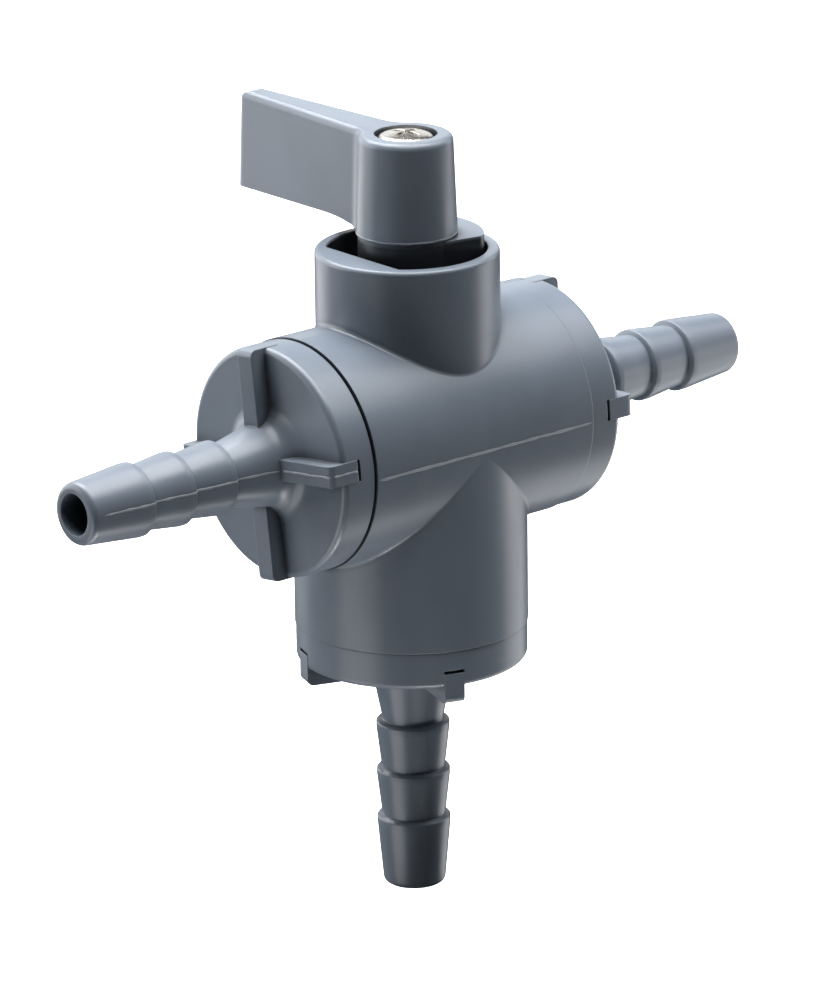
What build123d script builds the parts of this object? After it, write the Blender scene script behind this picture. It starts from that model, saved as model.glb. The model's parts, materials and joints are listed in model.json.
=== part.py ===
from build123d import *
import os

# Three way plastic ball valve with hose barbs. Millimetres, +Z up along the handle's axis, which is also
# the axis of the bottom port. The two side ports lie along X. The origin is the mouth of the bottom port.
# At rest the handle points along +Y, across the side ports, which is the closed position.

os.makedirs("parts", exist_ok=True)

# ------------------------------------------------------------------ driving dimensions
# Body
body_r = 17.6            # outer radius of the run tube
branch_r = 17.55         # the branch tube, a hair smaller so that its crease is clean
seam_x = 21.1            # side cap seams, measured from the handle's axis
seam_drop = 30.1         # bottom cap seam, below the port axes
collar_r = 13.75         # collar (handle well) around the hub
collar_top = 27.6        # collar rim above the port axes
collar_wall = 1.85
collar_floor = 20.0
collar_flat_x = -8.6     # the flat of the D-shaped well, the stop for the handle's lug
rim_outer_fillet = 0.65
rim_inner_fillet = 0.25
crease_fillet = 0.6

# End caps: distances run outwards from the seam
cap_length = 42.3        # seam to barb mouth
cap_r = 17.4
cap_lip = 1.0            # how deep the seam's open gap is
cap_face = 5.6
cap_edge_fillet = 0.9
boss_r = 6.6
boss_fillet = 3.0
boss_end = 15.5          # the boss tapers into the barb's neck
rib_top = 8.15
rib_width = 3.2
rib_inner_r = 4.5        # the ribs start inside the boss
rib_corner = 1.0
rib_root = 1.0           # how far the ribs reach into the cap
notched_ribs = (90, 180, 270)   # these ribs have a small undercut where they meet the rim
notch_start = 3.0
notch_end = 3.5
notch_r = 16.95
neck_r = 4.7
ridge_r = 5.55           # hose barb ridges, 11.1 mm across
ridge_root_r = 4.8
ridge_lead = 0.45        # length of the shoulder before a ridge's land
ridge_land = 0.8
ridge_round = (0.12, 0.15)   # the small bevel between shoulder and land
first_ridge = 16.0
ridge_pitch = 7.6
ridge_count = 3
tip_r = 4.65
tip_fillet = 1.0
port_r = 3.15            # 6.3 mm bore

# Inside
chamber_r = 10.3         # around the ball
socket_r = 12.5          # the caps' spigots fit here
socket_end = 13.0        # from the port axes' crossing
nose_r = 8.6             # the cap's nose holds the seat
nose_end = 9.0
spigot_gap = 0.1
pocket_r = 7.5
pocket_end = 12.4
ball_r = 9.5
seat_gap = 0.05
seat_r = 7.4
seat_hole_r = 3.4
seat_front = 7.8
seat_back = 10.8
seat_ring_r = 6.3        # O-ring behind the seat: centre line and section radius
seat_ring_section = 0.75
cap_ring_r = 11.65       # O-ring on the cap's spigot
cap_ring_section = 0.75
cap_groove_s = -3.6      # centre of its groove
cap_groove_width = 2.0

# Stem
stem_r = 4.5
stem_gap = 0.05          # running clearance in the body
flange_r = 6.4
flange_low = 10.4        # heights above the port axes
flange_high = 12.4
washer_low = 12.45
washer_high = 13.55
flange_pocket_r = 6.7
flange_pocket_top = 13.6
stem_ring_r = 3.85
stem_ring_section = 0.62
stem_ring_heights = {"lower_stem_o_ring": 15.4, "upper_stem_o_ring": 18.1}
groove_width = 1.6
tang_length = 7.0
tang_width = 2.8
slot_width = 3.0
slot_floor = 6.5
tang_low = 6.8
square = 6.2             # across flats, drives the handle
square_low = 20.4
square_top = 39.4
square_gap = 0.05

# Handle
hub_top = 45.0
hub_top_r = 7.0
hub_draft = 2.1
hub_low = 29.9           # lower lip of the hub
hub_low_r = 7.5
skirt_r = 7.3
skirt_low = 20.4
lug_top = 29.7
lug_low = 21.0
lug_root_x = 1.0         # the lug flares from here, a tangent of the skirt, to its widest place
lug_root_half = 7.25
lug_wide_x = 8.0
lug_wide_half = 8.75
lug_r = 11.4             # its outer face follows the well
lug_corner = 1.6
blade_tip_y = 36.6
blade_tip_half = 1.8
blade_root_half = 3.9     # at the hub's axis
blade_low_tip = 30.15
blade_low_root = 30.75
gusset_y = 14.0          # the blade's lower edge curves down to the lip from here
gusset_foot = 30.1
gusset_sag = 0.17
tip_corner = 2.4         # rounding of the tip seen from the side, and seen from above
tip_plan_fillet = 1.4
blade_fillet = 5.0
top_fillet = 1.1
web_low = 39.5           # plate between the square socket and the screw recess
recess_r = 4.7
recess_floor = 42.2

# Screw, M4 pan head with a cross recess
screw_r = 1.97
screw_low = 28.0
screw_hole_r = 2.0
screw_web_hole_r = 2.2
screw_point = 0.5        # chamfer at the screw's end
head_r = 4.25
head_edge = 44.2
head_crown = 45.3
head_round = 0.62        # the crown is this much lower at this share of the head's radius
head_drop = 0.28
cross_length = 4.8
cross_width = 1.0
cross_depth = 2.0
cross_draft = 10
cross_turn = 8

port_z = seam_drop + cap_length       # height of the side ports' axis
crossing = Vector(0, 0, port_z)

# Outward directions of the three ports. A cap's local X is the line that its rib angle starts from.
left_port = Plane(origin=crossing, x_dir=(0, 0, 1), z_dir=(-1, 0, 0))
right_port = Plane(origin=crossing, x_dir=(0, 0, 1), z_dir=(1, 0, 0))
bottom_port = Plane(origin=crossing, x_dir=(1, 0, 0), z_dir=(0, 0, -1))

# name: (port plane, seam distance, turn of the ribs, open gap at the seam)
ports = {
    "left": (left_port, seam_x, 7.3, 0.5),
    "right": (right_port, seam_x, -3.5, 0.05),
    "bottom": (bottom_port, seam_drop, 19.3, 0.08),
}


def height(z):
    """A horizontal plane z above the port axes."""
    return Plane.XY.offset(port_z + z)


def half_section(plane):
    """The plane that holds plane's axis: sketch x is the radius, sketch y the distance along the axis."""
    return Plane(origin=plane.origin, x_dir=plane.x_dir, z_dir=-plane.y_dir)


def axis_of(plane):
    return Axis(plane.origin, plane.z_dir)


def turned(plane, degrees):
    """The same plane, turned about its own axis."""
    x_dir = plane.x_dir.rotate(axis_of(plane), degrees)
    return Plane(origin=plane.origin, x_dir=x_dir, z_dir=plane.z_dir)


def save(builder, name):
    builder.part.label = name
    export_step(builder.part, f"parts/{name}.step")


# ------------------------------------------------------------------ body
def is_crease(edge):
    """An edge where two tubes meet, neither straight nor round."""
    return edge.geom_type not in (GeomType.LINE, GeomType.CIRCLE)


def make_body():
    with BuildPart() as body:
        # Run tube, branch tube and collar
        with BuildSketch(left_port.offset(-seam_x)):
            Circle(body_r)
        extrude(amount=2 * seam_x)
        with BuildSketch(height(-seam_drop)):
            Circle(branch_r)
        extrude(amount=seam_drop)
        with BuildSketch(height(0)):
            Circle(collar_r)
        extrude(amount=collar_top)
        creases = body.edges().filter_by(is_crease)
        fillet(creases, crease_fillet)

        # D-shaped handle well
        with BuildSketch(height(collar_floor)):
            Circle(collar_r - collar_wall)
            with Locations((collar_flat_x, 0)):
                Rectangle(2 * body_r, 4 * body_r, align=(Align.MAX, Align.CENTER), mode=Mode.SUBTRACT)
        extrude(amount=collar_top - collar_floor, mode=Mode.SUBTRACT)
        rim = body.faces().sort_by(Axis.Z)[-1]
        fillet(rim.outer_wire().edges(), rim_outer_fillet)
        rim = body.faces().filter_by(Axis.Z).sort_by(Axis.Z)[-1]
        fillet(rim.inner_wires()[0].edges(), rim_inner_fillet)

        # Chamber for the ball, sockets for the caps
        for plane, seam, _, _ in ports.values():
            with BuildSketch(plane):
                Circle(chamber_r)
            extrude(amount=seam, mode=Mode.SUBTRACT)
            with BuildSketch(plane.offset(socket_end)):
                Circle(socket_r)
            extrude(amount=seam - socket_end, mode=Mode.SUBTRACT)

        # Stem bore with a pocket for the flange
        with BuildSketch(height(0)):
            Circle(flange_pocket_r)
        extrude(amount=flange_pocket_top, mode=Mode.SUBTRACT)
        with BuildSketch(height(0)):
            Circle(stem_r + stem_gap)
        extrude(amount=collar_floor, mode=Mode.SUBTRACT)
    save(body, "valve_body")


# ------------------------------------------------------------------ end caps
def barb_points():
    """Outline of the hose barb, from the neck to the tip."""
    points = [(neck_r, first_ridge)]
    drop, lead = ridge_round
    for i in range(ridge_count):
        ridge = first_ridge + i * ridge_pitch
        land = ridge + ridge_lead
        points += [(ridge_r - drop, land - lead), (ridge_r, land), (ridge_r, land + ridge_land)]
        if i < ridge_count - 1:
            points.append((ridge_root_r, ridge + ridge_pitch))
    points.append((tip_r, cap_length))
    return points


def nearest(sketch, radius, distance):
    """The sketch's vertex at this radius and this distance from the seam."""
    return sketch.vertices().sort_by_distance((radius, distance, 0))[0]


def make_cap(side, plane, seam, rib_turn, gap):
    seam_plane = turned(plane.offset(seam), rib_turn)
    mouth = pocket_end - seam             # the same places as in the body, seen from the seam
    nose = nose_end - seam
    shoulder = socket_end + spigot_gap - seam
    face = cap_face + gap
    top = rib_top + gap
    with BuildPart() as cap:
        # Turned outline: nose and spigot inside the body, rim, boss and barb outside
        with BuildSketch(half_section(seam_plane)) as outline:
            with BuildLine():
                Polyline(
                    (port_r, mouth),
                    (pocket_r, mouth),
                    (pocket_r, nose),
                    (nose_r, nose),
                    (nose_r, shoulder),
                    (socket_r - spigot_gap, shoulder),
                    (socket_r - spigot_gap, 0),
                    (cap_r - cap_lip, 0),
                    (cap_r - cap_lip, gap),
                    (cap_r, gap),
                    (cap_r, face),
                    (boss_r, face),
                    (neck_r, boss_end),
                    *barb_points(),
                    (port_r, cap_length),
                    close=True,
                )
            make_face()
            fillet(nearest(outline, cap_r, face), cap_edge_fillet)
            fillet(nearest(outline, boss_r, face), boss_fillet)
            fillet(nearest(outline, tip_r, cap_length), tip_fillet)
        revolve(axis=axis_of(seam_plane))

        # Groove for the spigot's O-ring
        with BuildSketch(half_section(seam_plane)):
            with Locations((cap_ring_r - cap_ring_section, cap_groove_s)):
                Rectangle(cap_groove_width, cap_groove_width, align=(Align.MIN, Align.CENTER))
        revolve(axis=axis_of(seam_plane), mode=Mode.SUBTRACT)

        # Cross of four spanner ribs, flush with the rim
        for turn in range(0, 360, 90):
            with BuildSketch(half_section(turned(seam_plane, turn))) as rib:
                with BuildLine():
                    Polyline(
                        (rib_inner_r, face - rib_root),
                        (cap_r - rib_root, face - rib_root),
                        (cap_r - rib_root, notch_end),
                        (cap_r, notch_end),
                        (cap_r, top),
                        (rib_inner_r, top),
                        close=True,
                    )
                make_face()
                fillet(nearest(rib, cap_r, top), rib_corner)
            extrude(amount=rib_width / 2, both=True)
        for turn in notched_ribs:
            with BuildSketch(half_section(turned(seam_plane, turn))):
                with Locations((notch_r, notch_start)):
                    Rectangle(notch_r, notch_end - notch_start, align=(Align.MIN, Align.MIN))
            extrude(amount=rib_width / 2, both=True, mode=Mode.SUBTRACT)
    save(cap, f"{side}_end_cap")


def make_ring(name, plane, ring_r, section_r):
    """An O-ring whose centre line lies in plane."""
    with BuildPart() as ring:
        with BuildSketch(half_section(plane)):
            with Locations((ring_r, 0)):
                Circle(section_r)
        revolve(axis=axis_of(plane))
    save(ring, name)


def make_seat(side, plane):
    """A PTFE seat: a ring whose front is hollowed to the ball's sphere."""
    hollow_r = ball_r + seat_gap
    on_sphere = lambda r: (hollow_r**2 - r**2) ** 0.5
    lip_r = on_sphere(seat_front)
    middle_r = (seat_hole_r + lip_r) / 2
    with BuildPart() as seat:
        with BuildSketch(half_section(plane)):
            with BuildLine():
                Polyline(
                    (seat_hole_r, on_sphere(seat_hole_r)),
                    (seat_hole_r, seat_back),
                    (seat_r, seat_back),
                    (seat_r, seat_front),
                    (lip_r, seat_front),
                )
                ThreePointArc(
                    (lip_r, seat_front),
                    (middle_r, on_sphere(middle_r)),
                    (seat_hole_r, on_sphere(seat_hole_r)),
                )
            make_face()
        revolve(axis=axis_of(plane))
    save(seat, f"{side}_seat")


# ------------------------------------------------------------------ ball and stem
def make_ball():
    with BuildPart() as ball:
        with Locations(Location(crossing)):
            Sphere(ball_r)
        # L-shaped way: from the bottom port to the side that the handle points to
        with BuildSketch(bottom_port):
            Circle(port_r)
        extrude(amount=ball_r, mode=Mode.SUBTRACT)
        with BuildSketch(Plane(origin=crossing, z_dir=(0, 1, 0))):
            Circle(port_r)
        extrude(amount=ball_r, mode=Mode.SUBTRACT)
        with Locations(Location(crossing)):
            Sphere(port_r, mode=Mode.SUBTRACT)
        # Slot for the stem's tang, across the handle
        with BuildSketch(height(slot_floor)):
            Rectangle(2 * ball_r, slot_width)
        extrude(amount=ball_r, mode=Mode.SUBTRACT)
    save(ball, "ball")


def make_stem():
    with BuildPart() as stem:
        with BuildSketch(height(flange_low)):
            Circle(flange_r)
        extrude(amount=flange_high - flange_low)
        with BuildSketch(height(flange_high)):
            Circle(stem_r)
        extrude(amount=square_low - flange_high)
        with BuildSketch(height(square_low)):
            Rectangle(square, square)
        extrude(amount=square_top - square_low)
        chamfer(stem.faces().sort_by(Axis.Z)[-1].edges(), 0.4)
        with BuildSketch(height(tang_low)):
            Rectangle(tang_length, tang_width)
        extrude(amount=flange_low - tang_low)
        # Grooves for the two O-rings
        for z in stem_ring_heights.values():
            with BuildSketch(height(z - groove_width / 2)):
                Circle(stem_r + 1)
                Circle(stem_ring_r - stem_ring_section - 0.02, mode=Mode.SUBTRACT)
            extrude(amount=groove_width, mode=Mode.SUBTRACT)
        # Blind hole for the handle's screw
        with BuildSketch(height(screw_low - 1)):
            Circle(screw_hole_r)
        extrude(amount=square_top - screw_low + 1, mode=Mode.SUBTRACT)
    save(stem, "stem")


def make_thrust_washer():
    with BuildPart() as washer:
        with BuildSketch(height(washer_low)):
            Circle(flange_r)
            Circle(stem_r + stem_gap, mode=Mode.SUBTRACT)
        extrude(amount=washer_high - washer_low)
    save(washer, "stem_thrust_washer")


# ------------------------------------------------------------------ handle
def make_handle():
    long_section = Plane(origin=crossing, x_dir=(0, 1, 0), z_dir=(1, 0, 0))
    beyond = blade_tip_y + 2.0            # clear of the blade's tip
    with BuildPart() as handle:
        # Hub and blade in one outline, drafted so that everything grows a little downwards
        with BuildSketch(height(hub_top)) as outline:
            Circle(hub_top_r)
            with BuildLine():
                Polyline(
                    (-blade_root_half, 0),
                    (blade_root_half, 0),
                    (blade_tip_half, blade_tip_y),
                    (-blade_tip_half, blade_tip_y),
                    close=True,
                )
            make_face()
            fillet(outline.vertices().filter_by(lambda v: 1 < v.Y < hub_top_r), blade_fillet)
            fillet(outline.vertices().group_by(Axis.Y)[-1], tip_plan_fillet)
        extrude(amount=-(hub_top - hub_low), taper=-hub_draft)
        # The blade's lower edge falls a little outwards, and curves down to the lip at the hub
        with BuildSketch(long_section):
            with BuildLine():
                Polyline(
                    (hub_low_r, gusset_foot),
                    (hub_low_r, hub_low - 1),
                    (beyond, hub_low - 1),
                    (beyond, blade_low_tip),
                    (gusset_y, blade_low_root),
                )
                ThreePointArc(
                    (gusset_y, blade_low_root),
                    ((gusset_y + hub_low_r) / 2, blade_low_root - gusset_sag),
                    (hub_low_r, gusset_foot),
                )
            make_face()
        extrude(amount=body_r, both=True, mode=Mode.SUBTRACT)
        top_edges = handle.faces().sort_by(Axis.Z)[-1].edges()
        fillet(top_edges, top_fillet)
        # Rounded upper corner of the tip
        with BuildSketch(long_section):
            with Locations((beyond, hub_top)):
                Rectangle(beyond - blade_tip_y + tip_corner, tip_corner, align=(Align.MAX, Align.MAX))
            with Locations((blade_tip_y - tip_corner, hub_top - tip_corner)):
                Circle(tip_corner, mode=Mode.SUBTRACT)
        extrude(amount=body_r, both=True, mode=Mode.SUBTRACT)

        # Skirt below the lip
        with BuildSketch(height(skirt_low)):
            Circle(skirt_r)
        extrude(amount=hub_low - skirt_low)
        # Lug, which meets the well's flat at both ends of the turn
        with BuildSketch(height(lug_low)) as lug:
            with BuildLine():
                Polyline(
                    (lug_root_x, -lug_root_half),
                    (lug_wide_x, -lug_wide_half),
                    (lug_wide_x, lug_wide_half),
                    (lug_root_x, lug_root_half),
                    close=True,
                )
            make_face()
            with Locations((lug_wide_x, 0)):
                Rectangle(lug_r, 2 * lug_wide_half, align=(Align.MIN, Align.CENTER))
            Circle(lug_r, mode=Mode.INTERSECT)
            fillet(lug.vertices().group_by(Axis.X)[-1], lug_corner)
        extrude(amount=lug_top - lug_low)

        # Square socket for the stem, recess and hole for the screw
        with BuildSketch(height(skirt_low)):
            Rectangle(square + 2 * square_gap, square + 2 * square_gap)
        extrude(amount=web_low - skirt_low, mode=Mode.SUBTRACT)
        with BuildSketch(height(web_low)):
            Circle(screw_web_hole_r)
        extrude(amount=hub_top - web_low, mode=Mode.SUBTRACT)
        with BuildSketch(height(recess_floor)):
            Circle(recess_r)
        extrude(amount=hub_top - recess_floor, mode=Mode.SUBTRACT)
    save(handle, "handle")


def make_screw():
    with BuildPart() as screw:
        # Shank and domed head
        with BuildSketch(half_section(height(0))) as outline:
            with BuildLine():
                Polyline(
                    (0, screw_low),
                    (screw_r - screw_point, screw_low),
                    (screw_r, screw_low + screw_point),
                    (screw_r, recess_floor),
                    (head_r, recess_floor),
                    (head_r, head_edge),
                )
                Spline(
                    (head_r, head_edge),
                    (head_r * head_round, head_crown - head_drop),
                    (0, head_crown),
                    tangents=((-0.35, 1), (-1, 0)),
                )
                Line((0, head_crown), (0, screw_low))
            make_face()
        revolve(axis=Axis.Z)
        # Cross recess, narrowing downwards
        with BuildSketch(height(head_crown)):
            Rectangle(cross_length, cross_width, rotation=cross_turn)
            Rectangle(cross_width, cross_length, rotation=cross_turn)
        extrude(amount=-cross_depth, taper=cross_draft, mode=Mode.SUBTRACT)
    save(screw, "handle_screw")


make_body()
for side, (plane, seam, rib_turn, gap) in ports.items():
    make_cap(side, plane, seam, rib_turn, gap)
    make_ring(f"{side}_cap_o_ring", plane.offset(seam + cap_groove_s), cap_ring_r, cap_ring_section)
    make_ring(f"{side}_seat_o_ring", plane.offset(pocket_end - 0.8), seat_ring_r, seat_ring_section)
    make_seat(side, plane)
make_ball()
make_stem()
make_thrust_washer()
for name, z in stem_ring_heights.items():
    make_ring(name, height(z), stem_ring_r, stem_ring_section)
make_handle()
make_screw()
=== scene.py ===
import json
import math
import random

import bpy
from mathutils import Matrix, Vector
from mathutils.bvhtree import BVHTree


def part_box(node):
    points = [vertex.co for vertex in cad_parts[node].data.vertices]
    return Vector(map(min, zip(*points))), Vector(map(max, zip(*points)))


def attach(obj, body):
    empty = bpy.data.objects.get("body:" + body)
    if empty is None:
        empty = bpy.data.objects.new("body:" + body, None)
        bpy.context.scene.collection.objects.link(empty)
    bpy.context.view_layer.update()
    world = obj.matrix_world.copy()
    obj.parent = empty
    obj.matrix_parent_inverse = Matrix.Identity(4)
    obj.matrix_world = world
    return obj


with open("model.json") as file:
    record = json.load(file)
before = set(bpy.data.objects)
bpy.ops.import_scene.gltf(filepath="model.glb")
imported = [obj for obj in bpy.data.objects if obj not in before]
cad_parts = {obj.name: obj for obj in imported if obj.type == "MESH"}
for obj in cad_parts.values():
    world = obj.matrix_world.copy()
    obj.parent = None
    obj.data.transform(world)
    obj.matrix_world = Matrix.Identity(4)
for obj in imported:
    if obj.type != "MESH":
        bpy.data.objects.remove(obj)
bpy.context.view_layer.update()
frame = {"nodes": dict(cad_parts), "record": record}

MM = 0.001


# ------------------------------------------------------------------ places read from the frame
def mount(name):
    return next(m for m in frame["record"]["mounts"] if m["name"] == name)


def port(side):
    """A port's mouth and its outward direction."""
    place = mount(f"{side}_port")
    return Vector(place["pos_m"]), Vector(place["axis"])


crossing = Vector((0, 0, port("right")[0].z))      # where the three port axes meet
body_low, body_high = (Vector(c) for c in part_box("valve_body"))


# ------------------------------------------------------------------ materials
class Material:
    """A Principled material in object space, with short ways to add nodes. Lengths are in metres."""

    def __init__(self, name, colour, roughness, metallic=0.0, specular=0.5):
        self.data = bpy.data.materials.new(name)
        self.data.use_nodes = True
        self.tree = self.data.node_tree
        self.shader = self.tree.nodes["Principled BSDF"]
        self.shader.inputs["Metallic"].default_value = metallic
        self.shader.inputs["Specular IOR Level"].default_value = specular
        self.place = self.tree.nodes.new("ShaderNodeTexCoord").outputs["Object"]
        self.colour = (*colour, 1)
        self.roughness = roughness
        self.bumps = []

    def set(self, socket, value):
        """Links a socket to another, or gives it a plain value."""
        if isinstance(value, bpy.types.NodeSocket):
            self.tree.links.new(value, socket)
        else:
            socket.default_value = value

    def noise(self, size, detail=3.0, stretch=(1, 1, 1), distortion=0.0):
        """A noise pattern whose blobs are about this size."""
        mapping = self.tree.nodes.new("ShaderNodeMapping")
        mapping.inputs["Scale"].default_value = stretch
        node = self.tree.nodes.new("ShaderNodeTexNoise")
        node.inputs["Scale"].default_value = 1 / size
        node.inputs["Detail"].default_value = detail
        node.inputs["Distortion"].default_value = distortion
        self.tree.links.new(self.place, mapping.inputs["Vector"])
        self.tree.links.new(mapping.outputs[0], node.inputs["Vector"])
        return node.outputs["Fac"]

    def height(self):
        """The height above the part's origin, in metres."""
        node = self.tree.nodes.new("ShaderNodeSeparateXYZ")
        self.tree.links.new(self.place, node.inputs[0])
        return node.outputs["Z"]

    def ramp(self, value, low, high, out_low=0.0, out_high=1.0):
        """Maps low..high to out_low..out_high, and holds the ends."""
        node = self.tree.nodes.new("ShaderNodeMapRange")
        node.inputs["From Min"].default_value = low
        node.inputs["From Max"].default_value = high
        node.inputs["To Min"].default_value = out_low
        node.inputs["To Max"].default_value = out_high
        self.set(node.inputs["Value"], value)
        return node.outputs[0]

    def maths(self, operation, a, b=0.0):
        node = self.tree.nodes.new("ShaderNodeMath")
        node.operation = operation
        self.set(node.inputs[0], a)
        self.set(node.inputs[1], b)
        return node.outputs[0]

    def tint(self, mask, colour):
        """Moves the colour towards another where the mask is 1."""
        node = self.tree.nodes.new("ShaderNodeMix")
        node.data_type = "RGBA"
        self.set(node.inputs["Factor"], mask)
        self.set(node.inputs["A"], self.colour)
        node.inputs["B"].default_value = (*colour, 1)
        self.colour = node.outputs["Result"]

    def softened_normal(self, radius):
        """The normal as it would be if every edge were rounded to this radius."""
        bevel = self.tree.nodes.new("ShaderNodeBevel")
        bevel.samples = 6
        bevel.inputs["Radius"].default_value = radius
        return bevel.outputs[0]

    def edges(self, radius):
        """1 at outer and inner edges, 0 on open surfaces, from how far a softened normal leans."""
        geometry = self.tree.nodes.new("ShaderNodeNewGeometry")
        lean = self.tree.nodes.new("ShaderNodeVectorMath")
        lean.operation = "DOT_PRODUCT"
        self.tree.links.new(self.softened_normal(radius), lean.inputs[0])
        self.tree.links.new(geometry.outputs["Normal"], lean.inputs[1])
        return self.ramp(lean.outputs["Value"], 0.995, 0.85)

    def hollows(self, distance, open_ao=0.75, deep_ao=0.25):
        """1 deep in corners and slots, where less of the sky within distance is open than deep_ao."""
        node = self.tree.nodes.new("ShaderNodeAmbientOcclusion")
        node.samples = 8
        node.inputs["Distance"].default_value = distance
        return self.ramp(node.outputs["AO"], open_ao, deep_ao)

    def bump(self, height, depth):
        """Relief: height runs 0 to 1, depth is in metres."""
        self.bumps.append((height, depth))

    def finish(self, soft_edge=None):
        """Links everything to the shader. soft_edge is the radius that sharp edges are shaded to."""
        self.set(self.shader.inputs["Base Color"], self.colour)
        self.set(self.shader.inputs["Roughness"], self.roughness)
        normal = self.softened_normal(soft_edge) if soft_edge else None
        for height, depth in self.bumps:
            node = self.tree.nodes.new("ShaderNodeBump")
            node.inputs["Distance"].default_value = depth
            self.tree.links.new(height, node.inputs["Height"])
            if normal:
                self.tree.links.new(normal, node.inputs["Normal"])
            normal = node.outputs[0]
        if normal:
            self.tree.links.new(normal, self.shader.inputs["Normal"])
        return self.data


def grey_plastic(name, colour, roughness, grain=1.0, painted_shade_below=None):
    """Injection-moulded PVC: faintly mottled, satin, with paler rubbed edges, and shade painted into its
    hollows.
    Below a stated height, painted shade turns it near black."""
    m = Material(name, colour, roughness, specular=0.6)
    dark = [c * 0.9 for c in colour]
    light = [min(1, c * 1.1) for c in colour]
    m.tint(m.ramp(m.noise(14 * MM, 1, distortion=0.4), 0.3, 0.7, 0, 0.7), dark)
    m.tint(m.ramp(m.noise(8 * MM, 1, (1, 1, 0.5), 0.6), 0.35, 0.75, 0, 0.6), light)
    # painted shade: darker in corners and creases, where light is blocked
    m.tint(m.ramp(m.hollows(2.2 * MM, 0.88, 0.5), 0, 1, 0, 0.85), [c * 0.2 for c in colour])
    # painted shade: near black deep in wells and slots
    m.tint(m.ramp(m.hollows(14 * MM, 0.45, 0.14), 0, 1, 0, 0.9), [c * 0.08 for c in colour])
    rubbed = m.maths("MULTIPLY", m.edges(0.25 * MM), m.ramp(m.noise(2.2 * MM, 2), 0.35, 0.65, 0.05, 0.3))
    m.tint(rubbed, [min(1, c * 1.6) for c in colour])
    # painted shade: below the lever's lip the colour goes near black, where the skirt and lug lie in shade
    if painted_shade_below:
        under_lip_shade = m.ramp(m.height(), painted_shade_below, painted_shade_below - 0.5 * MM, 0, 0.94)
        m.tint(under_lip_shade, [c * 0.05 for c in colour])
    smudges = m.ramp(m.noise(9 * MM, 2, distortion=0.5), 0.3, 0.7, -0.02, 0.04)
    m.roughness = m.maths("ADD", smudges, roughness)
    m.bump(m.noise(9 * MM, 1), 0.03 * MM * grain)
    return m.finish(soft_edge=0.2 * MM)


def black_rubber(name):
    """Matt nitrile rubber with a faint moulding grain and a patchy dusty bloom."""
    m = Material(name, (0.018, 0.018, 0.019), 0.62, specular=0.35)
    m.tint(m.ramp(m.noise(2 * MM, 4), 0.5, 0.8, 0, 0.5), (0.05, 0.05, 0.052))
    m.roughness = m.ramp(m.noise(1.2 * MM, 4), 0.3, 0.7, 0.52, 0.72)
    m.bump(m.noise(0.15 * MM, 3), 0.01 * MM)
    return m.finish()


def ptfe(name):
    """Waxy white PTFE, a little uneven in tone."""
    m = Material(name, (0.83, 0.83, 0.80), 0.42)
    m.shader.inputs["Subsurface Weight"].default_value = 0.15
    m.shader.inputs["Subsurface Scale"].default_value = 1.0 * MM
    m.tint(m.ramp(m.noise(3 * MM, 3), 0.45, 0.75, 0, 0.5), (0.74, 0.74, 0.70))
    m.roughness = m.ramp(m.noise(1.5 * MM, 4), 0.3, 0.7, 0.36, 0.5)
    m.bump(m.noise(0.3 * MM, 2), 0.006 * MM)
    return m.finish(soft_edge=0.12 * MM)


def stainless(name):
    """Bright cold-headed steel: fine scratches, warm tarnish, and painted shade in its hollows such as the
    cross.
    """
    m = Material(name, (0.75, 0.73, 0.69), 0.2, metallic=1.0)
    m.tint(m.ramp(m.noise(1.1 * MM, 4, distortion=1.0), 0.5, 0.75, 0, 0.6), (0.62, 0.55, 0.42))
    # painted shade: near black in the screw's hollows
    m.tint(m.hollows(0.9 * MM), (0.09, 0.08, 0.08))
    scratches = m.noise(0.25 * MM, 4, (1, 9, 1), 0.5)
    m.roughness = m.ramp(scratches, 0.35, 0.7, 0.14, 0.34)
    m.bump(scratches, 0.004 * MM)
    m.bump(m.noise(1.3 * MM, 2), 0.03 * MM)
    return m.finish(soft_edge=0.15 * MM)


GREY = (0.187, 0.221, 0.27)
PALE = (0.37, 0.4, 0.45)       # the raised lines that a mould leaves, painted paler as a highlight
SATIN = 0.31
LIP = 29.9 * MM                # the lever's lip above the port axes, with its skirt below
materials = {
    "grey_pvc": grey_plastic("grey_pvc", GREY, SATIN),
    "ball_pvc": grey_plastic("ball_pvc", [c * 0.95 for c in GREY], 0.2, grain=0.4),
    "ptfe": ptfe("ptfe"),
    "black_rubber": black_rubber("black_rubber"),
    "stainless_steel": stainless("stainless_steel"),
}
# painted highlight: a paler copy of the grey for the mould lines that catch the light
highlit_flash_pvc = grey_plastic("highlit_flash_pvc", PALE, SATIN)
# the lever's skirt and lug below its lip get painted shade
lever_pvc = grey_plastic("lever_pvc", GREY, SATIN, painted_shade_below=crossing.z + LIP - 0.25 * MM)
for part in frame["record"]["subparts"]:
    mesh = frame["nodes"][part["node"]].data
    mesh.materials.clear()
    mesh.materials.append(lever_pvc if part["node"] == "handle" else materials[part["material_slot"]])


# ------------------------------------------------------------------ mould marks
surfaces = {}


def surface(node):
    """The node's mesh as a tree for ray casts."""
    if node not in surfaces:
        mesh = frame["nodes"][node].data
        mesh.calc_loop_triangles()
        surfaces[node] = BVHTree.FromPolygons(
            [v.co for v in mesh.vertices],
            [t.vertices for t in mesh.loop_triangles],
        )
    return surfaces[node]


def wander(rng, steps, every, low, high):
    """A smooth random run of steps + 1 numbers."""
    knots = [rng.uniform(low, high) for _ in range(steps // every + 2)]
    return [
        knots[i // every] + (knots[i // every + 1] - knots[i // every]) * (i % every) / every
        for i in range(steps + 1)
    ]


PROFILE = ((-0.5, 0.0), (-0.32, 0.55), (0.0, 1.0), (0.32, 0.55), (0.5, 0.0))   # across and up, as shares


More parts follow.
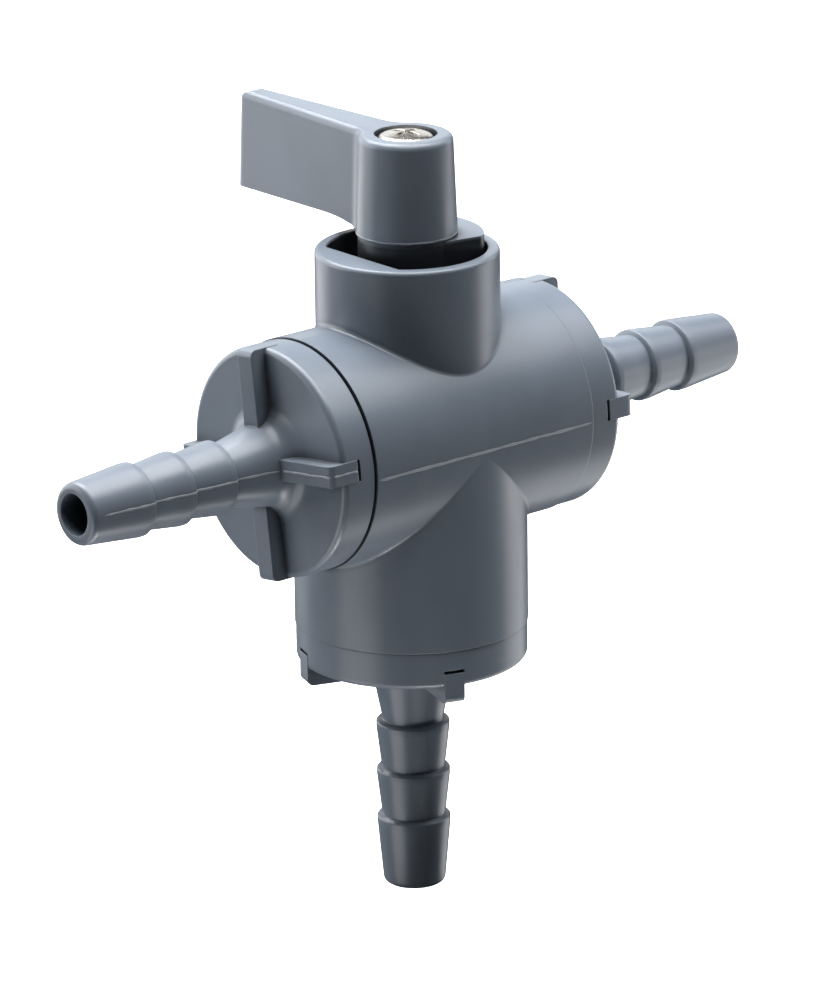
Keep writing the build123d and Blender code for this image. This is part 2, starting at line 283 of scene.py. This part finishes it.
def flash_line(name, node, body, path, width, height, seed, pale=False):
    """The raised line that a mould's parting leaves on a node. path is a list of (place, out, side): a place
    near the surface, the way to look at it from, and the way across the line. Width and height wander, and
    the line breaks where the surface drops more than a step."""
    rng = random.Random(seed)
    tree = surface(node)
    reach = 30 * MM            # the rays start this far out
    sunk = 0.02 * MM
    step = 0.3 * MM
    steps = len(path) - 1
    sway = wander(rng, steps, 8, -0.05 * MM, 0.05 * MM)
    swell = wander(rng, steps, 5, 0.6, 1.0)
    verts, index = [], {}
    for i, (place, out, side) in enumerate(path):
        fade = min(1, 0.3 + 25 * i / steps, 0.3 + 25 * (1 - i / steps))
        size = swell[i] * fade
        row = []
        for across, up in PROFILE:
            start = place + side * (sway[i] * fade + across * width * size) + out * reach
            hit = tree.ray_cast(start, -out)[0]
            if hit:
                row.append(hit + out * (up * height * size - sunk))
        if len(row) == len(PROFILE):
            index[i] = len(verts)
            verts.extend(row)
    faces = []
    for i in range(steps):
        if i in index and i + 1 in index:
            a, b = index[i], index[i + 1]
            out = path[i][1]
            gap = verts[b + 2] - verts[a + 2]
            if abs(gap.dot(out)) < step:
                faces += [(a + k, a + k + 1, b + k + 1, b + k) for k in range(len(PROFILE) - 1)]
    mesh = bpy.data.meshes.new(name)
    mesh.from_pydata(verts, [], faces)
    mesh.validate()
    for polygon in mesh.polygons:
        polygon.use_smooth = True
    # pale lines get the painted highlight
    mesh.materials.append(highlit_flash_pvc if pale else materials["grey_pvc"])
    piece = bpy.data.objects.new(name, mesh)
    bpy.context.scene.collection.objects.link(piece)
    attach(piece, body)


def straight(start, end, out, steps):
    """Places from start to end, looked at from out."""
    side = (end - start).normalized().cross(out).normalized()
    return [(start + (end - start) * i / steps, out, side) for i in range(steps + 1)]


def ring(centre, axis, first, last, steps, zero):
    """Places round an axis, looked at from outside; angles in degrees from the direction zero."""
    path = []
    for i in range(steps + 1):
        turn = Matrix.Rotation(math.radians(first + (last - first) * i / steps), 3, axis)
        path.append((centre, turn @ zero, axis))
    return path


# Each cap's parting plane, as a turn about the outward axis from the front. It holds two of the ribs
PARTING_TURNS = {"left": 7.3, "right": -3.5, "bottom": 19.3}
UP = Vector((0, 0, 1))
FRONT = Vector((0, -1, 0))
BACK = Vector((0, 1, 0))
BODY_LINE = (0.6 * MM, 0.12 * MM)       # width and height
CAP_LINE = (0.5 * MM, 0.12 * MM)
FAINT_LINE = (0.5 * MM, 0.04 * MM)


def parting_side(side, half_turn=0):
    """The direction from a cap's axis to its parting line."""
    turn = math.radians(PARTING_TURNS[side] + half_turn)
    return Matrix.Rotation(turn, 3, port(side)[1]) @ FRONT


def flash_on_body():
    inset = 0.3 * MM
    start = Vector((body_low.x + inset, 0, crossing.z))
    end = Vector((body_high.x - inset, 0, crossing.z))
    for seed, (label, out) in enumerate((("front", FRONT), ("back", BACK))):
        path = straight(start, end, out, 160)
        pale = label == "front"
        flash_line(f"body_flash_{label}", "valve_body", "housing", path, *BODY_LINE, seed, pale)


def flash_on_barbs():
    """Along both sides of each barb. Only the left one's near side stands out."""
    near_mouth, near_cap = 2.0 * MM, 33.5 * MM
    for side in PARTING_TURNS:
        mouth, away = port(side)
        for seed, (label, half_turn) in enumerate((("front", 0), ("back", 180))):
            out = parting_side(side, half_turn)
            path = straight(mouth - away * near_mouth, mouth - away * near_cap, out, 190)
            pale = side == "left" and label == "front"
            line = CAP_LINE if pale else FAINT_LINE
            name = f"{side}_cap_flash_{label}"
            flash_line(name, f"{side}_end_cap", "housing", path, *line, 10 + seed, pale)


def flash_on_left_rib():
    """Across the near rib's outward face, then down its end. Distances run inwards from the mouth."""
    face_at, end_from, end_to = 34 * MM, 34.3 * MM, 38.75 * MM
    inner_r, outer_r = 6.3 * MM, 17.2 * MM
    mouth, away = port("left")
    out = parting_side("left")
    foot = mouth - away * face_at
    path = straight(foot + out * inner_r, foot + out * outer_r, away, 90)
    flash_line("left_rib_flash", "left_end_cap", "housing", path, *CAP_LINE, 20, pale=True)
    path = straight(mouth - away * end_from, mouth - away * end_to, out, 40)
    flash_line("left_rib_end_flash", "left_end_cap", "housing", path, *CAP_LINE, 21, pale=True)


def flash_rings():
    """Faint rings: round the bottom cap, and round the hub's lower lip, clear of the blade."""
    mouth, away = port("bottom")
    path = ring(mouth - away * 39.3 * MM, away, -60, 15, 120, FRONT)
    flash_line("bottom_cap_flash_ring", "bottom_end_cap", "housing", path, 0.35 * MM, 0.05 * MM, 30)
    path = ring(crossing + UP * (LIP + 0.25 * MM), UP, 30, 330, 240, BACK)
    flash_line("hub_lip_flash", "handle", "lever", path, 0.35 * MM, 0.08 * MM, 31, pale=True)


flash_on_body()
flash_on_barbs()
flash_on_left_rib()
flash_rings()


# ------------------------------------------------------------------ stage
def make_plane(name, corners, material):
    mesh = bpy.data.meshes.new(name)
    mesh.from_pydata(corners, [], [(0, 1, 2, 3)])
    mesh.materials.append(material)
    plane = bpy.data.objects.new(name, mesh)
    bpy.context.scene.collection.objects.link(plane)
    return plane


def make_floor():
    """The white ground and background."""
    half, low = 3.0, -0.06
    m = Material("floor_white", (0.9, 0.9, 0.9), 0.85)
    m.shader.inputs["Emission Color"].default_value = (1, 1, 1, 1)
    m.shader.inputs["Emission Strength"].default_value = 1.0
    corners = [(-half, -half, low), (half, -half, low), (half, half, low), (-half, half, low)]
    floor = make_plane("floor", corners, m.finish())
    # The light from below comes from a lamp, so the floor only shows
    floor.visible_diffuse = False
    floor.visible_glossy = False
    floor.visible_shadow = False


def toward(azimuth, elevation):
    """The direction from the object, azimuth from -Y towards +X."""
    a, e = math.radians(azimuth), math.radians(elevation)
    return Vector((math.sin(a) * math.cos(e), -math.cos(a) * math.cos(e), math.sin(e)))


def make_flag(name, azimuth, elevation, distance, width, height):
    """A black card that keeps light off one side, as a studio uses. The camera looks through it."""
    m = Material(name, (0.01, 0.01, 0.012), 0.9)
    away = toward(azimuth, elevation)
    right = Vector((0, 0, 1)).cross(away).normalized()
    up = away.cross(right)
    centre = crossing + away * distance
    corners = [
        centre + right * x * width / 2 + up * y * height / 2
        for x, y in ((-1, -1), (1, -1), (1, 1), (-1, 1))
    ]
    card = make_plane(name, corners, m.finish())
    card.visible_camera = False


def area_light(name, azimuth, elevation, distance, width, height, power):
    """A white rectangle facing the crossing, unseen by the camera. Metres, degrees and watts."""
    data = bpy.data.lights.new(name, "AREA")
    data.energy = power
    data.shape = "RECTANGLE"
    data.size = width
    data.size_y = height
    light = bpy.data.objects.new(name, data)
    away = toward(azimuth, elevation)
    light.location = crossing + away * distance
    light.rotation_euler = away.to_track_quat("Z", "Y").to_euler()
    light.visible_camera = False
    bpy.context.scene.collection.objects.link(light)


def make_lights():
    """Soft light from above and behind, from both sides and from below; the front stays dark. Each lamp:
    azimuth, elevation, distance, width, height and power."""
    world = bpy.data.worlds.new("studio")
    world.use_nodes = True
    background = world.node_tree.nodes["Background"]
    background.inputs["Color"].default_value = (0.94, 0.97, 1, 1)
    background.inputs["Strength"].default_value = 0.006
    bpy.context.scene.world = world
    make_flag("flag_low", 0, -90, 0.084, 0.05, 0.05)
    area_light("top", 90, 88, 0.55, 0.55, 0.5, 4.4)
    area_light("top_back", 180, 55, 0.7, 0.5, 0.5, 5.4)
    area_light("backdrop", 139.5, 16, 0.9, 0.7, 0.4, 0.9)
    area_light("top_right", 70, 55, 0.7, 0.5, 0.5, 2.0)
    area_light("left_back", -140, 10, 0.8, 0.45, 0.6, 2.4)
    area_light("back_left", -175, 2, 0.8, 0.5, 0.6, 2.2)
    area_light("left_low", -95, -35, 0.6, 0.4, 0.4, 1.1)
    area_light("right", 85, 8, 0.8, 0.3, 0.6, 1.0)
    area_light("right_low", 85, -35, 0.6, 0.4, 0.4, 0.9)
    area_light("below", 10, -84, 0.45, 0.5, 0.4, 1.2)
    area_light("card_right", 66, -8, 0.12, 0.05, 0.06, 0.017)
    area_light("card_low", -20, -70, 0.16, 0.06, 0.06, 0.06)


def make_camera():
    """The main view: azimuth from -Y towards +X, a long lens, a slight roll."""
    azimuth, elevation, roll = -40.48, 17.38, math.radians(-0.69)
    distance = 1050 * MM
    lens = 253.7
    right_of_crossing, above_crossing = 0.87 * MM, -11.16 * MM
    back = toward(azimuth, elevation)
    right = Vector((0, 0, 1)).cross(back).normalized()
    up = back.cross(right)
    location = crossing + back * distance
    aim = crossing + right * right_of_crossing + up * above_crossing
    view = (location - aim).to_track_quat("Z", "Y").to_matrix().to_4x4()
    data = bpy.data.cameras.new("camera")
    data.lens = lens
    data.sensor_width = 36
    data.clip_start = 0.01
    camera = bpy.data.objects.new("camera", data)
    camera.matrix_world = Matrix.Translation(location) @ view @ Matrix.Rotation(roll, 4, "Z")
    bpy.context.scene.collection.objects.link(camera)
    bpy.context.scene.camera = camera


make_floor()
make_lights()
make_camera()
bpy.context.scene.view_settings.view_transform = "Standard"
